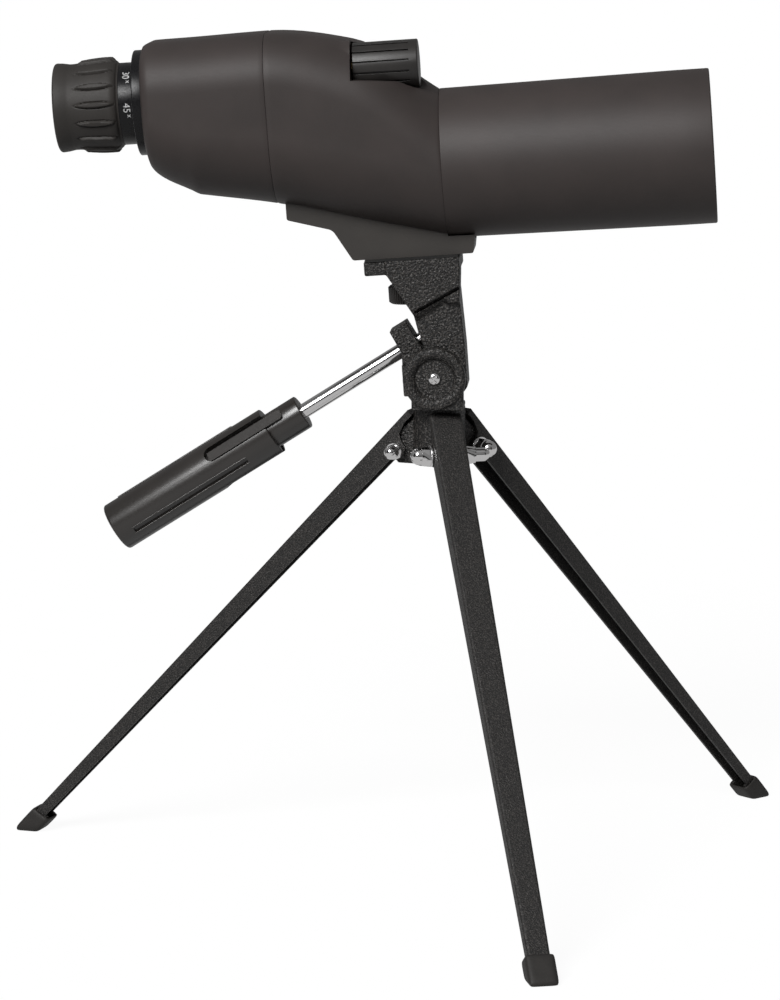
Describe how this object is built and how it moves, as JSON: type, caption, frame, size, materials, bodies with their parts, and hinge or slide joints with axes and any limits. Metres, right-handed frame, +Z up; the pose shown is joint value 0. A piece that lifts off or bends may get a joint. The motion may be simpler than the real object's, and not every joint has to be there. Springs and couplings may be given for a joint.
{
  "type": "spotting scope",
  "caption": "Straight zoom spotting scope with a top focus knob, on a folding table tripod with a pan-and-tilt head and a handle.",
  "frame": {"origin": "middle of the footprint's bounding box, on the floor under the spread feet", "axes": "+Z up; +X is the way the scope points, seen from above, with its nose 4 degrees up; the focus knob is on the -Y side"},
  "size_m": [0.3232, 0.3166, 0.342],
  "materials": {
    "soft_coat": "soft-touch warm dark grey coat, very fine grain",
    "foot_plastic": "satin dark grey moulding",
    "gloss_ring": "gloss black",
    "eyecup_rubber": "moulded dark rubber",
    "lens_glass": "coated optical glass",
    "prism_glass": "clear optical glass, ground sides",
    "black_anodised": "matt black anodised",
    "inner_plastic": "flat black moulding",
    "seal_rubber": "thin black sheet rubber",
    "brass_thread": "turned",
    "steel": "zinc plated",
    "chrome_plate": "polished",
    "crinkle_paint": "black crinkle paint on a zinc casting",
    "leg_paint": "fine black powder coat",
    "boot_rubber": "dark grey-brown rubber",
    "grip_plastic": "polished black moulding",
    "knob_plastic": "ribbed black moulding"
  },
  "bodies": {
    "hub": {"hub_casting": "crinkle_paint", "leg_bolts": "chrome_plate", "acorn_nuts": "chrome_plate", "leg_washers": "chrome_plate"},
    "leg_a": {"leg_channel_a": "leg_paint", "rubber_foot_a": "boot_rubber"},
    "leg_b": {"leg_channel_b": "leg_paint", "rubber_foot_b": "boot_rubber"},
    "leg_c": {"leg_channel_c": "leg_paint", "rubber_foot_c": "boot_rubber"},
    "neck": {"neck_casting": "crinkle_paint", "pan_bolt": "steel", "pan_washer": "steel", "tilt_screw": "chrome_plate", "tilt_washer": "steel", "tilt_nut": "steel"},
    "head": {"head_casting": "crinkle_paint", "platform_pad": "seal_rubber", "objective_tube": "soft_coat", "objective_cell": "black_anodised", "objective_crown": "lens_glass", "objective_flint": "lens_glass", "retaining_ring": "black_anodised", "tube_baffle": "inner_plastic", "front_shell": "soft_coat", "rear_cover": "soft_coat", "housing_seal": "seal_rubber", "scope_foot": "foot_plastic", "thread_insert": "brass_thread", "foot_screws": "steel", "prism_plate": "inner_plastic", "rear_prism": "prism_glass", "guide_rods": "steel", "eyepiece_flange": "gloss_ring", "eyepiece_barrel": "black_anodised", "eye_lens": "lens_glass"},
    "clamp_slide": {"clamp_washer": "steel"},
    "handle": {"handle_rod": "chrome_plate", "handle_grip": "grip_plastic"},
    "stud_slide": {"screw_washer": "steel"},
    "stud": {"camera_stud": "steel", "camera_knob": "knob_plastic"},
    "focus_drive": {"focus_knob": "knob_plastic", "focus_screw": "brass_thread"},
    "carriage": {"prism_carriage": "inner_plastic", "front_prism": "prism_glass"},
    "zoom": {"zoom_sleeve": "black_anodised", "number_ring": "gloss_ring", "eyecup_grip": "eyecup_rubber"},
    "zoom_front": {"zoom_cell_front": "black_anodised", "zoom_lens_front": "lens_glass"},
    "zoom_rear": {"zoom_cell_rear": "black_anodised", "zoom_lens_rear": "lens_glass"}
  },
  "joints": [
    {"name": "leg_a_fold", "type": "hinge", "parent": "hub", "child": "leg_a", "pos_m": [0.02548, 0.00925, 0.1731], "axis": [0.9659, 0.2588, 0], "range_deg": [0, 42]},
    {"name": "leg_b_fold", "type": "hinge", "parent": "hub", "child": "leg_b", "pos_m": [0.03295, 0.03572, 0.1731], "axis": [-0.6884, 0.7254, 0], "range_deg": [0, 42]},
    {"name": "leg_c_fold", "type": "hinge", "parent": "hub", "child": "leg_c", "pos_m": [0.00588, 0.02885, 0.1731], "axis": [-0.2588, -0.9659, 0], "range_deg": [0, 42]},
    {"name": "pan_turn", "type": "hinge", "parent": "hub", "child": "neck", "pos_m": [0.02134, 0.02471, 0.1912], "axis": [0, 0, 1], "continuous": true},
    {"name": "tilt", "type": "hinge", "parent": "neck", "child": "head", "pos_m": [0.01999, 0.02471, 0.2042], "axis": [0, -1, 0], "range_deg": [-24, 15]},
    {"name": "clamp_advance", "type": "slide", "parent": "head", "child": "clamp_slide", "axis": [0.8445, 0, 0.5355], "range_m": [-0.0009, 0]},
    {"name": "handle_turn", "type": "hinge", "parent": "clamp_slide", "child": "handle", "pos_m": [0.01169, 0.02471, 0.21729], "axis": [0.8445, 0, 0.5355], "range_deg": [-360, 0]},
    {"name": "stud_advance", "type": "slide", "parent": "head", "child": "stud_slide", "axis": [-0.0703, 0, 0.9975], "range_m": [-0.002, 0]},
    {"name": "camera_knob_turn", "type": "hinge", "parent": "stud_slide", "child": "stud", "pos_m": [0.0117, 0.02471, 0.23359], "axis": [-0.0703, 0, 0.9975], "range_deg": [-540, 0]},
    {"name": "focus_turn", "type": "hinge", "parent": "head", "child": "focus_drive", "pos_m": [0.01349, 0.01271, 0.33056], "axis": [0.9975, 0, 0.0703], "range_deg": [-540, 540]},
    {"name": "prism_travel", "type": "slide", "parent": "head", "child": "carriage", "axis": [0.9975, 0, 0.0703], "range_m": [-0.004, 0.004]},
    {"name": "zoom_turn", "type": "hinge", "parent": "head", "child": "zoom", "pos_m": [-0.09868, 0.02471, 0.31343], "axis": [-0.9975, 0, -0.0703], "range_deg": [0, 110]},
    {"name": "zoom_front_travel", "type": "slide", "parent": "head", "child": "zoom_front", "axis": [0.9975, 0, 0.0703], "range_m": [-0.0061, 0]},
    {"name": "zoom_rear_travel", "type": "slide", "parent": "head", "child": "zoom_rear", "axis": [0.9975, 0, 0.0703], "range_m": [0, 0.0051]}
  ],
  "couplings": [
    {"joint": "clamp_advance", "follows": "handle_turn", "m_per_rad": 0.00012732},
    {"joint": "stud_advance", "follows": "camera_knob_turn", "m_per_rad": 0.00020213},
    {"joint": "prism_travel", "follows": "focus_turn", "m_per_rad": 0.00039789},
    {"joint": "zoom_front_travel", "follows": "zoom_turn", "m_per_rad": -0.0031252},
    {"joint": "zoom_rear_travel", "follows": "zoom_turn", "m_per_rad": 0.0026044}
  ]
}
